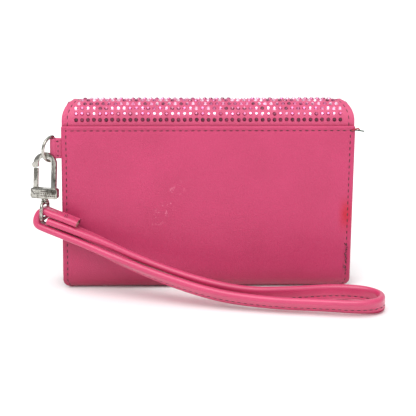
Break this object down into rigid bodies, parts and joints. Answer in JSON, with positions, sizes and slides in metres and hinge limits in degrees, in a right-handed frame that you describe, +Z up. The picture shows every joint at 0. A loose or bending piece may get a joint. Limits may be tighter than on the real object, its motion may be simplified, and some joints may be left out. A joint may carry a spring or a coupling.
{
  "type": "wristlet wallet",
  "caption": "Pink leather wristlet wallet with a rhinestone flap, back slip pocket, accordion sides, zipped coin pocket and a wrist strap on a swivel snap.",
  "frame": {"origin": "middle of the bottom fold, on the surface that the wallet stands on", "axes": "+X along the wallet's length towards the plain end, +Y from the back slip pocket towards the flap's front, +Z up"},
  "size_m": [0.1823, 0.0699, 0.1001],
  "materials": {
    "pink_leather": "smooth satin, light grain",
    "strap_leather": "smooth glossy leather with painted edges",
    "lining": "fine twill",
    "zip_tape": "woven tape",
    "zip_teeth": "polished nickel",
    "nickel": "polished nickel",
    "magnet": "plated disc",
    "thread": "waxed sewing thread",
    "rhinestone": "faceted stones on foil"
  },
  "bodies": {
    "wallet": {"outer_wrap": "pink_leather", "back_panel": "pink_leather", "back_lining": "lining", "front_lining": "lining", "gusset_left": "pink_leather", "gusset_right": "pink_leather", "card_slot_tall": "pink_leather", "card_slot_middle": "pink_leather", "card_slot_low": "pink_leather", "coin_pocket": "lining", "zip_tape_back": "zip_tape", "zip_tape_front": "zip_tape", "zip_teeth_back": "zip_teeth", "zip_teeth_front": "zip_teeth", "zip_stop_closed": "nickel", "zip_stop_open": "nickel", "front_magnet": "magnet", "strap_tab": "pink_leather"},
    "flap_spine": {"flap_spine": "pink_leather", "spine_lining": "lining"},
    "flap": {"flap_front": "pink_leather", "flap_lining": "lining", "flap_magnet": "magnet"},
    "d_ring": {"d_ring": "nickel"},
    "snap": {"snap_frame": "nickel", "gate_pin": "nickel"},
    "gate": {"snap_gate": "nickel"},
    "swivel": {"swivel_eye": "nickel"},
    "strap": {"wrist_strap": "strap_leather"},
    "slider": {"zip_slider": "nickel"},
    "puller": {"zip_puller": "nickel"}
  },
  "joints": [
    {"name": "flap_back_fold", "type": "hinge", "parent": "wallet", "child": "flap_spine", "pos_m": [0, -0.00702, 0.09692], "axis": [1, 0, 0], "range_deg": [0, 90]},
    {"name": "flap_front_fold", "type": "hinge", "parent": "flap_spine", "child": "flap", "pos_m": [0, 0.00882, 0.09692], "axis": [1, 0, 0], "range_deg": [0, 90]},
    {"name": "d_ring_swing", "type": "hinge", "parent": "wallet", "child": "d_ring", "pos_m": [-0.08, -0.0096, 0.0768], "axis": [0, 0, 1], "range_deg": [-60, 0]},
    {"name": "snap_swing", "type": "hinge", "parent": "d_ring", "child": "snap", "pos_m": [-0.08288, -0.0128, 0.07107], "axis": [-0.2402, -0.9635, 0.1184], "range_deg": [-12, 6]},
    {"name": "gate_open", "type": "hinge", "parent": "snap", "child": "gate", "pos_m": [-0.08925, -0.01323, 0.05458], "axis": [0.2402, 0.9635, -0.1184], "range_deg": [0, 22], "stiffness_Nm_per_rad": 0.002, "springref_deg": -5.73},
    {"name": "swivel_turn", "type": "hinge", "parent": "snap", "child": "swivel", "pos_m": [-0.08471, -0.01476, 0.05141], "axis": [0.0286, 0.1149, 0.993], "range_deg": [-180, 0]},
    {"name": "strap_swing", "type": "hinge", "parent": "swivel", "child": "strap", "pos_m": [-0.08501, -0.01598, 0.04078], "axis": [-0.2402, -0.9635, 0.1184], "range_deg": [0, 25]},
    {"name": "zip_slide", "type": "slide", "parent": "wallet", "child": "slider", "axis": [1, 0, 0], "range_m": [0, 0.11]},
    {"name": "puller_flip", "type": "hinge", "parent": "slider", "child": "puller", "pos_m": [-0.057, 0.0004, 0.07965], "axis": [0, 1, 0], "range_deg": [0, 150]}
  ],
  "couplings": [
    {"joint": "flap_front_fold", "follows": "flap_back_fold", "ratio": 1}
  ]
}
